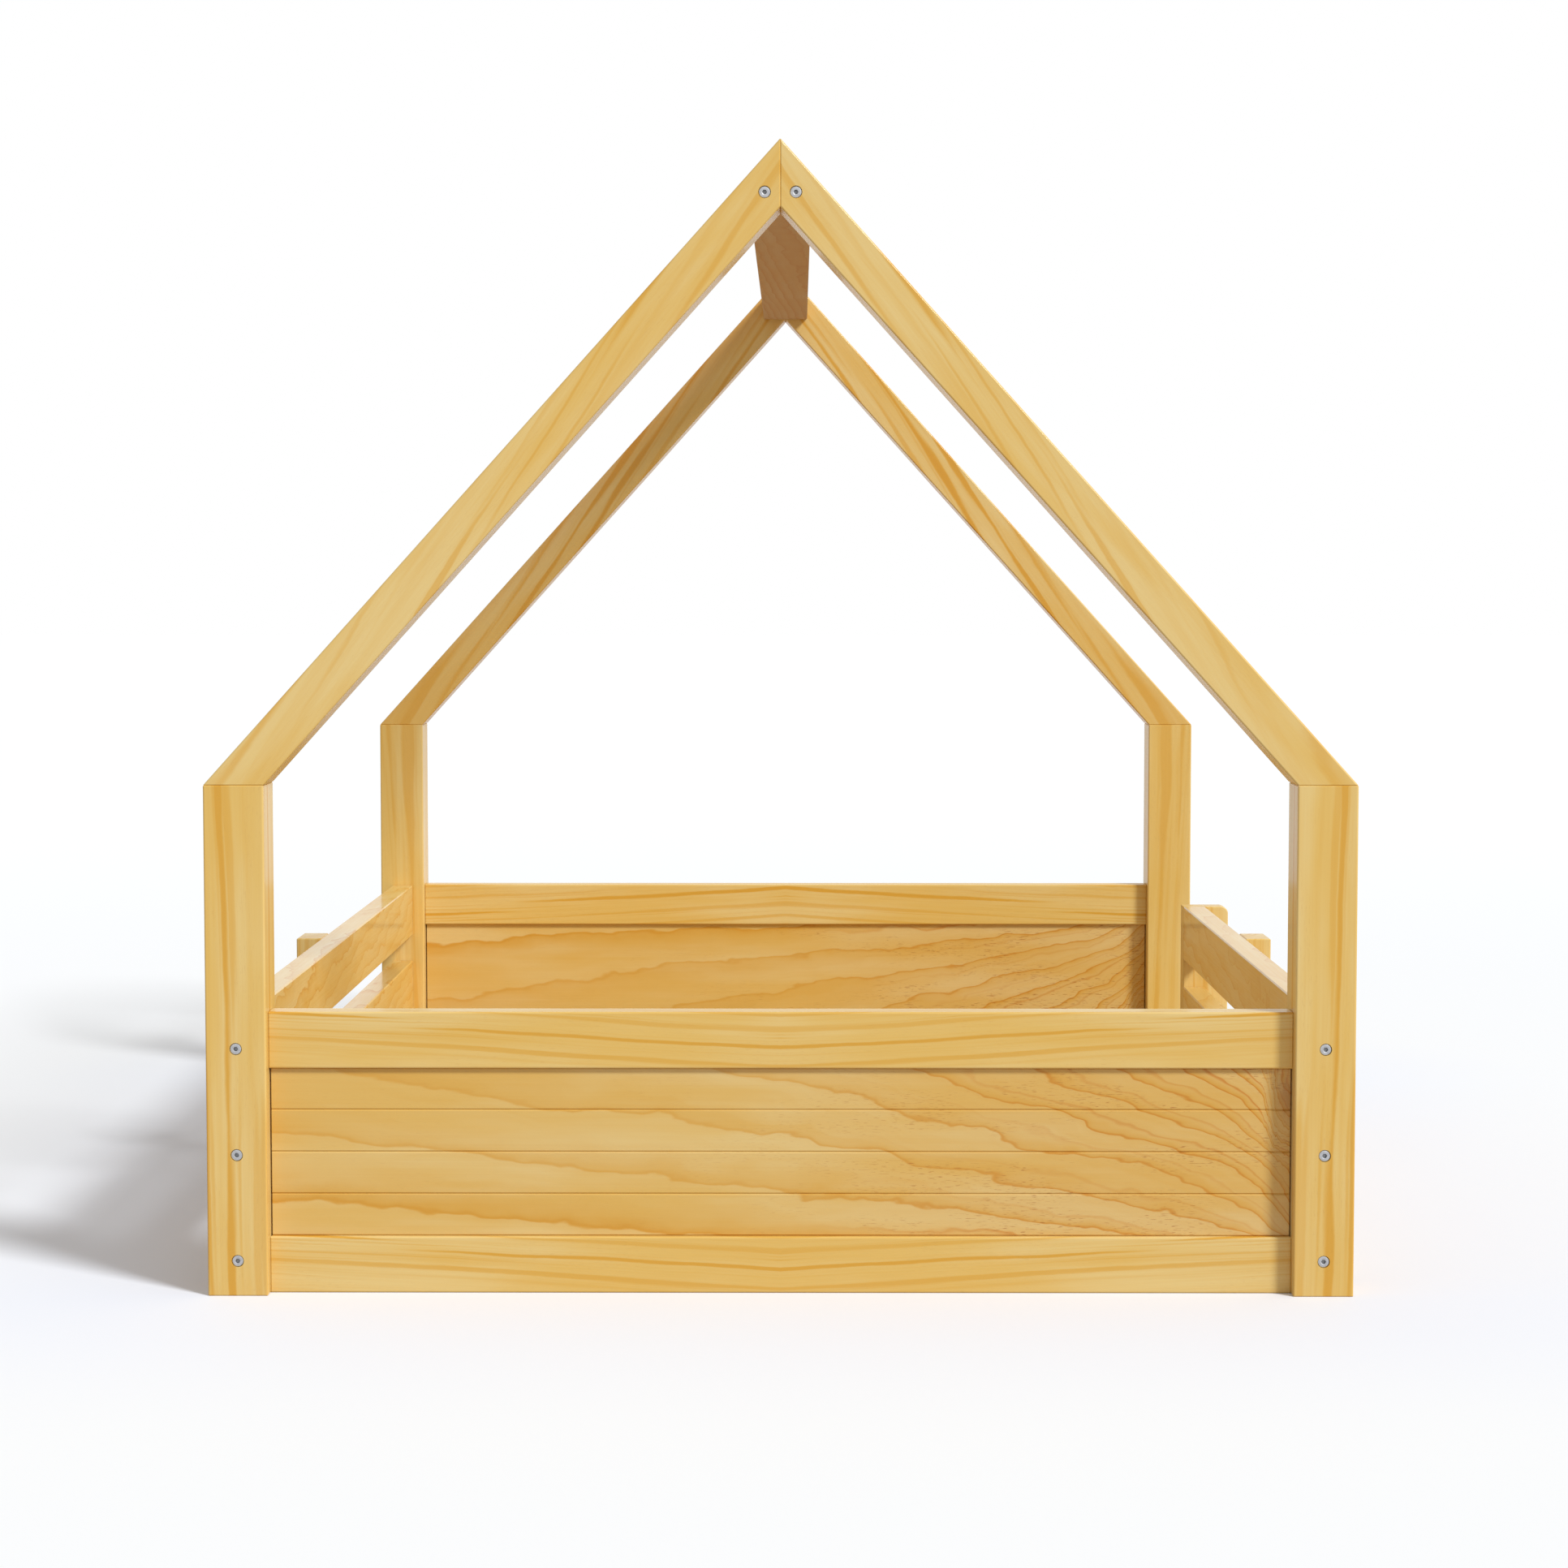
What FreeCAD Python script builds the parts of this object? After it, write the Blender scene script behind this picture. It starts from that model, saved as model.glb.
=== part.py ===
import FreeCAD, Part
import math
import os

from FreeCAD import Vector

# House frame bed in solid pine: two gables with rafters and plank end panels, a ridge beam,
# three side rails on the left, and on the right two shorter upper rails that leave an entry gap.
# Millimetres. +X is to the right seen from the front, +Y runs from front to back, +Z is up.
# The origin is on the floor, in the middle of the bed.

# ---- Mattress and the room round it ----
mattress_width = 1600.0
mattress_length = 2000.0
mattress_side_clearance = 7.0
mattress_end_clearance = 2.0

# ---- Gables ----
post_side = 92.0
post_height = 782.0
peak_height = 1752.0
ridge_thick = 44.0
end_rail_thick = 44.0
end_rail_height = 87.0

# ---- Planks of the end panels ----
plank_count = 4
plank_thick = 26.0
plank_vee = 2.0
plank_end_gap = 2.5
tongue_thick = 10.0
tongue_length = 8.0
tongue_side_clearance = 0.25
tongue_end_clearance = 1.0

# ---- Sides ----
side_rail_count = 3
side_rail_thick = 44.0
side_rail_height = 108.0
side_rail_gap = 55.0
leg_thick = 46.0
leg_width = 92.0
guard_post_depth = 46.0
guard_corner_radius = 14.0
entry_width = 406.0

# ---- Mattress base ----
slat_count = 14
slat_width = 90.0
slat_thick = 18.0
slat_side_clearance = 2.0
slat_seat_height = 87.0
ledger_thick = 30.0
ledger_height = 40.0
ledger_end_clearance = 1.0
beam_thick = 44.0

# ---- Edges ----
edge_radius = 3.0
end_chamfer = 1.5
rail_chamfer = 2.0
pick_tolerance = 0.001

# ---- Connector bolts, barrel nuts and threaded inserts ----
bolt_diameter = 8.0
bolt_hole_diameter = 9.0
bolt_head_diameter = 17.5
bolt_head_height = 4.2
bolt_socket_width = 7.5
bolt_socket_depth = 3.0
counterbore_diameter = 19.0
counterbore_depth = 5.0
bolt_past_nut = 9.0
bolt_hole_spare = 4.0
nut_diameter = 14.0
nut_length = 28.0
nut_setback = 56.0
insert_diameter = 12.0
insert_length = 18.0
ridge_bolt_spacing = 47.0
bore_flat_count = 8
head_flat_count = 16
socket_flat_count = 6

# ---- Tenons and loose keys ----
mortise_spare = 1.0
end_tenon_thick = 16.0
end_tenon_length = 30.0
end_tenon_shoulder = 15.0
stub_tenon_thick = 24.0
stub_tenon_height = 60.0
stub_tenon_length = 12.0
key_thick = 14.0
post_key_width = 44.0
post_key_inset = 10.0
post_key_length = 60.0
mitre_key_height = 24.0
mitre_key_length = 40.0
mitre_key_above_bolts = 34.0

# ---- Positions that follow from the sizes ----
rail_x = mattress_width / 2 + mattress_side_clearance + side_rail_thick / 2
rail_inner_x = rail_x - side_rail_thick / 2
rail_outer_x = rail_x + side_rail_thick / 2
post_inner_x = rail_x - post_side / 2
post_outer_x = rail_x + post_side / 2
leg_outer_x = rail_outer_x + leg_thick
post_inner_y = mattress_length / 2 + mattress_end_clearance
post_y = post_inner_y + post_side / 2
post_outer_y = post_inner_y + post_side
end_rail_inner_y = post_y - end_rail_thick / 2
side_rail_pitch = side_rail_height + side_rail_gap
rails_top = side_rail_count * side_rail_pitch - side_rail_gap
panel_bottom = end_rail_height
panel_top = rails_top - end_rail_height
plank_height = (panel_top - panel_bottom) / plank_count
groove_width = tongue_thick + 2 * tongue_side_clearance
groove_depth = tongue_length + tongue_end_clearance
roof_slope = (peak_height - post_height) / post_outer_x
ridge_bottom = peak_height - post_side * roof_slope
ridge_bolt_z = ridge_bottom + ridge_thick / 2
guard_post_back_y = post_inner_y - entry_width
guard_post_front_y = guard_post_back_y - guard_post_depth
bolt_seat_y = post_outer_y - counterbore_depth
ACROSS = Vector(1, 0, 0)
ALONG = Vector(0, 1, 0)
UP = Vector(0, 0, 1)
SIDES = {"left": -1, "right": 1}
ENDS = {"front": -1, "back": 1}
RAIL_NAMES = ["bottom", "middle", "top"][-side_rail_count:]

nodes = {}


def block(x_range, y_range, z_range):
    """A box between two values on each axis, given in either order."""
    lows = [min(pair) for pair in (x_range, y_range, z_range)]
    sizes = [abs(pair[1] - pair[0]) for pair in (x_range, y_range, z_range)]
    return Part.makeBox(sizes[0], sizes[1], sizes[2], Vector(*lows))


def slant(edge, direction):
    """1 for an edge that runs along a direction, 0 for one that is square to it."""
    return abs(edge.tangentAt(edge.FirstParameter).dot(direction))


def edges_along(shape, direction):
    """The straight edges that run along a direction."""
    return [edge for edge in shape.Edges if edge.Curve.TypeId == "Part::GeomLine"
            and slant(edge, direction) > 1 - pick_tolerance]


def edges_round_end(shape, direction, place):
    """The edges of the end face that is square to a direction and lies at one place along it."""
    return [edge for edge in shape.Edges
            if all(abs(vertex.Point.dot(direction) - place) < pick_tolerance
                   for vertex in edge.Vertexes)]


def timber(x_range, y_range, z_range, direction):
    """A planed length of timber: ends chamfered, long edges rounded."""
    bar = block(x_range, y_range, z_range)
    end_edges = [edge for edge in bar.Edges if slant(edge, direction) < pick_tolerance]
    bar = bar.makeChamfer(end_chamfer, end_edges)
    return bar.makeFillet(edge_radius, edges_along(bar, direction))


def batten(x_range, y_range, z_range):
    """A rail, leg or slat with every edge chamfered."""
    bar = block(x_range, y_range, z_range)
    return bar.makeChamfer(rail_chamfer, bar.Edges)


def rod(start, direction, diameter, length, flat_count):
    """A rod, or the bore for one. The fixings are many, so flats stand in for their round faces."""
    radius = diameter / 2
    angles = [2 * math.pi * step / flat_count for step in range(flat_count + 1)]
    corners = [Vector(radius * math.cos(angle), radius * math.sin(angle), 0) for angle in angles]
    bar = Part.Face(Part.makePolygon(corners)).extrude(UP * length)
    bar.Placement = FreeCAD.Placement(start, FreeCAD.Rotation(UP, direction))
    return bar


def bore(mouth, direction, diameter, depth):
    return rod(mouth, direction, diameter, depth, bore_flat_count)


def rail_z(level):
    """Centre height of a side rail, counted from the bottom."""
    return level * side_rail_pitch + side_rail_height / 2


def levels_at(side, end):
    """Levels of the side rails that are bolted to the post at this corner."""
    if side == "right" and end == "back":
        return [0]
    return list(range(side_rail_count))


def rail_end_y(side, level, end):
    """Where a side rail ends: at the post, or at the guard end post beside the entry."""
    if end == "back" and level not in levels_at(side, end):
        return guard_post_front_y
    return ENDS[end] * post_inner_y


def end_rail_low_z(is_top):
    return rails_top - end_rail_height if is_top else 0


def end_tenon(side, end, is_top, spare):
    """The tenon at one end of an end rail, or with some spare length its mortise in the post."""
    sx = SIDES[side]
    y = ENDS[end] * post_y
    low = end_rail_low_z(is_top) + end_tenon_shoulder
    high = low + end_rail_height - 2 * end_tenon_shoulder
    return block((sx * post_inner_x, sx * (post_inner_x + end_tenon_length + spare)),
                 (y - end_tenon_thick / 2, y + end_tenon_thick / 2), (low, high))


def stub_tenon(side, level, end, spare):
    """The stub tenon at one end of a side rail, or with some spare length its mortise."""
    x = SIDES[side] * rail_x
    z = rail_z(level)
    shoulder = rail_end_y(side, level, end)
    tip = shoulder + ENDS[end] * (stub_tenon_length + spare)
    return block((x - stub_tenon_thick / 2, x + stub_tenon_thick / 2), (shoulder, tip),
                 (z - stub_tenon_height / 2, z + stub_tenon_height / 2))


def post_key(side, end, spare):
    """The loose tenon between a post and its rafter."""
    near = SIDES[side] * (post_inner_x + post_key_inset)
    far = near + SIDES[side] * post_key_width
    y = ENDS[end] * post_y
    reach = post_key_length / 2 + spare
    return block((near, far), (y - key_thick / 2, y + key_thick / 2),
                 (post_height - reach, post_height + reach))


def mitre_key(end, spare):
    """The loose tenon across the mitre at the peak of a gable."""
    y = ENDS[end] * post_y
    z = ridge_bolt_z + mitre_key_above_bolts
    reach = mitre_key_length / 2 + spare
    return block((-reach, reach), (y - key_thick / 2, y + key_thick / 2),
                 (z - mitre_key_height / 2, z + mitre_key_height / 2))


def bolt_cuts(seat, direction, depth):
    """Clearance bore with its counterbore. The seat is where the bolt's head rests."""
    mouth = seat - direction * counterbore_depth
    return [bore(seat, direction, bolt_hole_diameter, depth),
            rod(mouth, direction, counterbore_diameter, counterbore_depth, head_flat_count)]


def make_post(side, end):
    sx = SIDES[side]
    sy = ENDS[end]
    x = sx * rail_x
    y = sy * post_y
    half = post_side / 2
    post = timber((x - half, x + half), (y - half, y + half), (0, post_height), UP)
    cuts = [post_key(side, end, mortise_spare)]
    for level in levels_at(side, end):
        seat = Vector(x, sy * bolt_seat_y, rail_z(level))
        cuts += bolt_cuts(seat, Vector(0, -sy, 0), post_side)
        cuts.append(stub_tenon(side, level, end, mortise_spare))
    for is_top in (False, True):
        cuts.append(end_tenon(side, end, is_top, mortise_spare))
    cuts.append(block((sx * post_inner_x, sx * (post_inner_x + groove_depth)),
                      (y - groove_width / 2, y + groove_width / 2),
                      (panel_bottom - groove_depth, panel_top + groove_depth)))
    return post.cut(cuts)


def make_rafter(side, end):
    sx = SIDES[side]
    sy = ENDS[end]
    low_y = sy * post_y - post_side / 2
    outline = [
        Vector(sx * post_outer_x, low_y, post_height),
        Vector(0, low_y, peak_height),
        Vector(0, low_y, ridge_bottom),
        Vector(sx * post_inner_x, low_y, post_height),
    ]
    slope = (outline[1] - outline[0]).normalize()
    rafter = Part.Face(Part.makePolygon(outline + outline[:1])).extrude(ALONG * post_side)
    ends = edges_round_end(rafter, UP, post_height) + edges_round_end(rafter, ACROSS, 0)
    rafter = rafter.makeChamfer(end_chamfer, ends)
    rafter = rafter.makeFillet(edge_radius, edges_along(rafter, slope))
    seat = Vector(sx * ridge_bolt_spacing / 2, sy * bolt_seat_y, ridge_bolt_z)
    cuts = bolt_cuts(seat, Vector(0, -sy, 0), post_side)
    cuts.append(post_key(side, end, mortise_spare))
    cuts.append(mitre_key(end, mortise_spare))
    return rafter.cut(cuts)


def make_ridge_beam():
    half = post_side / 2
    beam = batten((-half, half), (-post_inner_y, post_inner_y),
                  (ridge_bottom, ridge_bottom + ridge_thick))
    cuts = []
    reach = nut_setback + bolt_past_nut + bolt_hole_spare
    for sy in ENDS.values():
        for sx in SIDES.values():
            x = sx * ridge_bolt_spacing / 2
            cuts.append(bore(Vector(x, sy * post_inner_y, ridge_bolt_z), Vector(0, -sy, 0),
                             bolt_hole_diameter, reach))
            mouth = Vector(x, sy * (post_inner_y - nut_setback), ridge_bottom + ridge_thick)
            cuts.append(bore(mouth, -UP, nut_diameter, ridge_thick / 2 + nut_length / 2))
    return beam.cut(cuts)


def make_end_rail(end, is_top):
    y = ENDS[end] * post_y
    half = end_rail_thick / 2
    low = end_rail_low_z(is_top)
    high = low + end_rail_height
    rail = timber((-post_inner_x, post_inner_x), (y - half, y + half), (low, high), ACROSS)
    groove_z = (low, low + groove_depth) if is_top else (high - groove_depth, high)
    rail = rail.cut(block((-post_inner_x, post_inner_x),
                          (y - groove_width / 2, y + groove_width / 2), groove_z))
    return rail.fuse([end_tenon(side, end, is_top, 0) for side in SIDES])


def make_plank(end, index):
    """A tongued and grooved plank with a vee joint on its outer face.

    The inner face is flush. The lowest plank has a tongue on both edges.
    """
    y = ENDS[end] * post_y
    outward = ENDS[end]
    low = panel_bottom + index * plank_height
    high = low + plank_height
    half = plank_thick / 2
    tongue = tongue_thick / 2
    if index == 0:
        lower_edge = [(tongue, low), (tongue, low - tongue_length),
                      (-tongue, low - tongue_length), (-tongue, low)]
    else:
        groove = groove_width / 2
        lower_edge = [(groove, low), (groove, low + groove_depth),
                      (-groove, low + groove_depth), (-groove, low)]
    upper_edge = [(-tongue, high), (-tongue, high + tongue_length),
                  (tongue, high + tongue_length), (tongue, high)]
    outline = [(half, low + plank_vee), (half - plank_vee, low)]
    outline += lower_edge
    outline += [(-half, low), (-half, high)]
    outline += upper_edge
    outline += [(half - plank_vee, high), (half, high - plank_vee)]
    reach = post_inner_x + tongue_length
    points = [Vector(-reach, y + outward * across, z) for across, z in outline]
    plank = Part.Face(Part.makePolygon(points + points[:1])).extrude(ACROSS * 2 * reach)
    shoulder = post_inner_x - plank_end_gap
    cuts = []
    for sx in SIDES.values():
        for face in (-1, 1):
            cuts.append(block((sx * shoulder, sx * reach), (y + face * tongue, y + face * half),
                              (low - tongue_length, high + tongue_length)))
    return plank.cut(cuts)


def make_side_rail(side, level):
    sx = SIDES[side]
    x = sx * rail_x
    z = rail_z(level)
    half = side_rail_thick / 2
    rail = batten((x - half, x + half),
                  (rail_end_y(side, level, "front"), rail_end_y(side, level, "back")),
                  (z - side_rail_height / 2, z + side_rail_height / 2))
    rail = rail.fuse([stub_tenon(side, level, end, 0) for end in ENDS])
    cuts = []
    for end, sy in ENDS.items():
        shoulder = rail_end_y(side, level, end)
        tip = Vector(x, shoulder + sy * stub_tenon_length, z)
        reach = stub_tenon_length + nut_setback + bolt_past_nut + bolt_hole_spare
        cuts.append(bore(tip, Vector(0, -sy, 0), bolt_hole_diameter, reach))
        mouth = Vector(sx * rail_outer_x, shoulder - sy * nut_setback, z)
        cuts.append(bore(mouth, ACROSS * -sx, nut_diameter, half + nut_length / 2))
    for mouth in insert_mouths(side):
        if abs(mouth.z - z) < side_rail_height / 2:
            cuts.append(bore(mouth, ACROSS * -sx, insert_diameter, insert_length))
    return rail.cut(cuts)


def insert_mouths(side):
    """Mouths of the threaded inserts in the outer faces of the side rails."""
    x = SIDES[side] * rail_outer_x
    mouths = [Vector(x, 0, rail_z(level)) for level in range(side_rail_count)]
    if side == "right":
        mouths.append(Vector(x, guard_post_back_y - guard_post_depth / 2, rail_z(0)))
    return mouths


def make_mid_leg(side):
    sx = SIDES[side]
    leg = batten((sx * rail_outer_x, sx * leg_outer_x), (-leg_width / 2, leg_width / 2),
                 (0, rails_top))
    cuts = []
    for mouth in insert_mouths(side):
        if abs(mouth.y) < leg_width / 2:
            seat = Vector(sx * (leg_outer_x - counterbore_depth), mouth.y, mouth.z)
            cuts += bolt_cuts(seat, ACROSS * -sx, leg_thick)
    return leg.cut(cuts)


def make_guard_end_post():
    """The upper right rails butt on it. Its foot is notched over the bottom rail."""
    post = block((rail_inner_x, leg_outer_x), (guard_post_front_y, guard_post_back_y),
                 (0, rails_top))
    corner = [edge for edge in edges_along(post, ALONG)
              if edge.CenterOfMass.x > rail_x and edge.CenterOfMass.z > rails_top / 2]
    post = post.makeFillet(guard_corner_radius, corner)
    faces = edges_round_end(post, ALONG, guard_post_front_y)
    faces += edges_round_end(post, ALONG, guard_post_back_y)
    post = post.makeChamfer(rail_chamfer, faces)
    notch = block((rail_inner_x, rail_outer_x), (guard_post_front_y, guard_post_back_y),
                  (0, side_rail_height))
    cuts = [notch]
    for level in range(side_rail_count):
        if level not in levels_at("right", "back"):
            seat = Vector(rail_x, guard_post_back_y - counterbore_depth, rail_z(level))
            cuts += bolt_cuts(seat, -ALONG, guard_post_depth)
            cuts.append(stub_tenon("right", level, "back", mortise_spare))
    foot = insert_mouths("right")[-1]
    seat = Vector(leg_outer_x - counterbore_depth, foot.y, foot.z)
    cuts += bolt_cuts(seat, -ACROSS, leg_thick)
    return post.cut(cuts)


def make_ledger(side):
    sx = SIDES[side]
    reach = post_inner_y - ledger_end_clearance
    return batten((sx * (rail_inner_x - ledger_thick), sx * rail_inner_x), (-reach, reach),
                  (slat_seat_height - ledger_height, slat_seat_height))


def make_centre_beam():
    half = beam_thick / 2
    return batten((-half, half), (-end_rail_inner_y, end_rail_inner_y), (0, slat_seat_height))


def make_slat(index):
    space = (2 * post_inner_y - slat_count * slat_width) / (slat_count + 1)
    low_y = -post_inner_y + space + index * (slat_width + space)
    reach = rail_inner_x - slat_side_clearance
    return batten((-reach, reach), (low_y, low_y + slat_width),
                  (slat_seat_height, slat_seat_height + slat_thick))


def make_bolt(seat, direction, length):
    """Connector bolt with a hexagon socket. Its head rests on the seat, its shank points on."""
    top = seat - direction * bolt_head_height
    head = rod(top, direction, bolt_head_diameter, bolt_head_height, head_flat_count)
    socket = rod(top, direction, bolt_socket_width, bolt_socket_depth, socket_flat_count)
    return head.cut(socket).fuse(bore(seat, direction, bolt_diameter, length))


def make_barrel_nut(centre, direction, bolt_direction):
    nut = bore(centre - direction * nut_length / 2, direction, nut_diameter, nut_length)
    return nut.cut(bore(centre - bolt_direction * nut_diameter, bolt_direction, bolt_diameter,
                        2 * nut_diameter))


def make_insert(mouth, direction):
    insert = bore(mouth, direction, insert_diameter, insert_length)
    return insert.cut(bore(mouth, direction, bolt_diameter, insert_length))


def add_side_rail_fixings():
    """Bolts and barrel nuts at every end of every side rail."""
    post_bolts = []
    guard_bolts = []
    nuts = []
    for side, sx in SIDES.items():
        for level in range(side_rail_count):
            for end, sy in ENDS.items():
                inward = Vector(0, -sy, 0)
                z = rail_z(level)
                end_y = rail_end_y(side, level, end)
                nut_y = end_y - sy * nut_setback
                if level in levels_at(side, end):
                    seat_y = sy * bolt_seat_y
                    group = post_bolts
                else:
                    seat_y = guard_post_back_y - counterbore_depth
                    group = guard_bolts
                length = abs(seat_y - nut_y) + bolt_past_nut
                group.append(make_bolt(Vector(sx * rail_x, seat_y, z), inward, length))
                nuts.append(make_barrel_nut(Vector(sx * rail_x, nut_y, z), ACROSS, inward))
    nodes["side_rail_bolts"] = post_bolts
    nodes["guard_post_bolts"] = guard_bolts
    nodes["side_rail_barrel_nuts"] = nuts


def add_leg_fixings():
    """Bolts and inserts that hold the mid legs and the foot of the guard end post."""
    bolts = []
    inserts = []
    for side, sx in SIDES.items():
        inward = ACROSS * -sx
        for mouth in insert_mouths(side):
            seat = Vector(sx * (leg_outer_x - counterbore_depth), mouth.y, mouth.z)
            length = leg_thick - counterbore_depth + insert_length
            bolts.append(make_bolt(seat, inward, length))
            inserts.append(make_insert(mouth, inward))
    nodes["leg_bolts"] = bolts
    nodes["leg_inserts"] = inserts


def add_roof_fixings():
    """Ridge bolts with their barrel nuts, and the loose keys of the roof joints."""
    bolts = []
    nuts = []
    for sy in ENDS.values():
        inward = Vector(0, -sy, 0)
        nut_y = sy * (post_inner_y - nut_setback)
        length = bolt_seat_y - post_inner_y + nut_setback + bolt_past_nut
        for sx in SIDES.values():
            x = sx * ridge_bolt_spacing / 2
            bolts.append(make_bolt(Vector(x, sy * bolt_seat_y, ridge_bolt_z), inward, length))
            nuts.append(make_barrel_nut(Vector(x, nut_y, ridge_bolt_z), UP, inward))
    nodes["ridge_bolts"] = bolts
    nodes["ridge_barrel_nuts"] = nuts
    nodes["post_top_keys"] = [post_key(side, end, 0) for end in ENDS for side in SIDES]
    nodes["mitre_keys"] = [mitre_key(end, 0) for end in ENDS]


def add_gables():
    for end in ENDS:
        for side in SIDES:
            nodes["%s_%s_post" % (end, side)] = [make_post(side, end)]
            nodes["%s_%s_rafter" % (end, side)] = [make_rafter(side, end)]
        nodes["%s_top_rail" % end] = [make_end_rail(end, True)]
        nodes["%s_bottom_rail" % end] = [make_end_rail(end, False)]
        for index in range(plank_count):
            nodes["%s_plank_%d" % (end, index + 1)] = [make_plank(end, index)]
    nodes["ridge_beam"] = [make_ridge_beam()]


def add_sides():
    for side in SIDES:
        for level, name in enumerate(RAIL_NAMES):
            nodes["%s_%s_rail" % (side, name)] = [make_side_rail(side, level)]
        nodes["%s_mid_leg" % side] = [make_mid_leg(side)]
    nodes["guard_end_post"] = [make_guard_end_post()]


def add_mattress_base():
    for side in SIDES:
        nodes["%s_slat_ledger" % side] = [make_ledger(side)]
    nodes["centre_beam"] = [make_centre_beam()]
    for index in range(slat_count):
        nodes["slat_%02d" % (index + 1)] = [make_slat(index)]


add_gables()
add_sides()
add_mattress_base()
add_side_rail_fixings()
add_leg_fixings()
add_roof_fixings()

os.makedirs("parts", exist_ok=True)
for name, solids in nodes.items():
    shape = solids[0] if len(solids) == 1 else Part.makeCompound(solids)
    shape.exportStep("parts/%s.step" % name)
print("%d nodes, %d solids" % (len(nodes), sum(len(solids) for solids in nodes.values())))
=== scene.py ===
import math
import random

import bmesh
import bpy
from mathutils import Matrix, Vector


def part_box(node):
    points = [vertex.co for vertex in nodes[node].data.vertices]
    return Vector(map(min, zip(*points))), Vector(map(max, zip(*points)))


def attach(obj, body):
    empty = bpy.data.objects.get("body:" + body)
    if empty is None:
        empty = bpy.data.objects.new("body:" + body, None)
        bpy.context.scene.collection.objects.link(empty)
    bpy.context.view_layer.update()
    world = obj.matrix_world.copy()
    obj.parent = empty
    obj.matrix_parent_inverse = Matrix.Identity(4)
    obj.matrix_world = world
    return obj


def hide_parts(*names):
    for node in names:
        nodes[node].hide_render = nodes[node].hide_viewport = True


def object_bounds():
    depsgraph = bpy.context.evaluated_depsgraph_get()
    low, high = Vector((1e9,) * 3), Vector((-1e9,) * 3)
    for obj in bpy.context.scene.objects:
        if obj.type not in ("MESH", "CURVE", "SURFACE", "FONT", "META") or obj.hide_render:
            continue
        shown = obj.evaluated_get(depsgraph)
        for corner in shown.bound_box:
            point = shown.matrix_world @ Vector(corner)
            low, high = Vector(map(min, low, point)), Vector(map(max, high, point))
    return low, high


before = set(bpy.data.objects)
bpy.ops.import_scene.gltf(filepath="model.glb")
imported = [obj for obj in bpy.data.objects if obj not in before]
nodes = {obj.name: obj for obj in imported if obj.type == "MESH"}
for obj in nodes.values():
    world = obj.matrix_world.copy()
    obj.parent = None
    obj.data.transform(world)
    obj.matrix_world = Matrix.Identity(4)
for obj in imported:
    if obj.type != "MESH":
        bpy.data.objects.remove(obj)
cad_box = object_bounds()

# House frame bed: varnished pine, zinc-plated bolts, white studio. Metres, in the frame of the
# part: +X to the right seen from the front, +Y from front to back, +Z up.

# ---- Camera ----
CAMERA_PLACE = (0.0263, -6.0041, 1.0897)
CAMERA_LENS = 74.66
CAMERA_SENSOR = 36.0
CAMERA_TILT_DOWN = math.radians(3.557)
CAMERA_TURN_LEFT = math.radians(0.242)

# ---- Light ----
SUN_FROM_RIGHT = math.radians(48)
SUN_HEIGHT = math.radians(38)
SUN_WIDTH = math.radians(13)
SUN_STRENGTH = 2.7
SUN_COLOUR = (0.97, 1.0, 1.03)
SKY_STRENGTH = 0.49

# ---- Floor: grey near the middle, white far off, painted cooler close to the bed against the warm light the bed bounces onto it ----
FLOOR_REACH = 60.0
FLOOR_BOUNCE = (0.56, 0.50, 0.44, 1.0)
FLOOR_NEAR = 0.965
FLOOR_FAR = 1.0
FLOOR_FADE = (3.0, 9.0)
FLOOR_TINT_AGAINST_BOUNCE = (0.90, 0.92, 0.985, 1.0)
FLOOR_TINT_AGAINST_BOUNCE_REACH = 0.9

# ---- Bolts: button heads with a hexagon socket ----
HEAD_RADIUS = 0.0092
HEAD_HEIGHT = 0.0042
# From the seat up over the dome, as shares of the height and the radius.
HEAD_OUTLINE = ((0.0, 0.96), (0.06, 0.99), (0.15, 1.0), (0.55, 1.0), (0.70, 0.985),
                (0.82, 0.95), (0.91, 0.89), (0.97, 0.78), (1.0, 0.62))
SHANK_RADIUS = 0.004
SHANK_TIP_SHARE = 0.75
SHANK_CHAMFER = 0.001
SOCKET_MOUTH_RADIUS = 0.0046
SOCKET_CORNER_RADIUS = 0.0037
SOCKET_CHAMFER = 0.0005
SOCKET_DEPTH = 0.003
SOCKET_TAPER = 0.9

# ---- Barrel nuts: slotted dowels ----
NUT_RADIUS = 0.007
NUT_CHAMFER = 0.0007
NUT_SLOT_WIDTH = 0.0016
NUT_SLOT_DEPTH = 0.0012

# ---- Screws of the slats and ledgers: countersunk, square recess ----
SCREW_RADIUS = 0.0038
SCREW_DEPTH = 0.0026
SCREW_PROUD = 0.00005
# Rings of the cone below the face, as shares of the depth and the radius.
SCREW_CONE = ((0.0, 0.3), (0.85, 0.97))
RECESS_CORNER_RADIUS = 0.0019
RECESS_DEPTH_SHARE = 0.5
RECESS_TAPER = 0.35
SLAT_SCREW_INSET = 0.020
SLAT_SCREW_SPREAD = 0.022
LEDGER_SCREW_COUNT = 6

# ---- Turned pieces: the sides of a ring, and the steps that draw it ----
ROUND = 0
HEXAGON = 6
SQUARE = 4
ROUND_STEPS = 48

# ---- Meshes: points closer than this are one, and edges sharper than this stay crisp ----
WELD = 1e-5
CRISP_ANGLE = math.radians(38)

# ---- Metal: noise (scale per metre, detail), and what it does ----
CLOUDS = (240.0, 3.0)
CLOUD_SPAN = (0.3, 0.7)
CLOUD_SHADE = 0.8
NICKS = (2600.0, 2.0)
NICK_STRENGTH = 0.06
NICK_DEPTH = 0.0001

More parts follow.
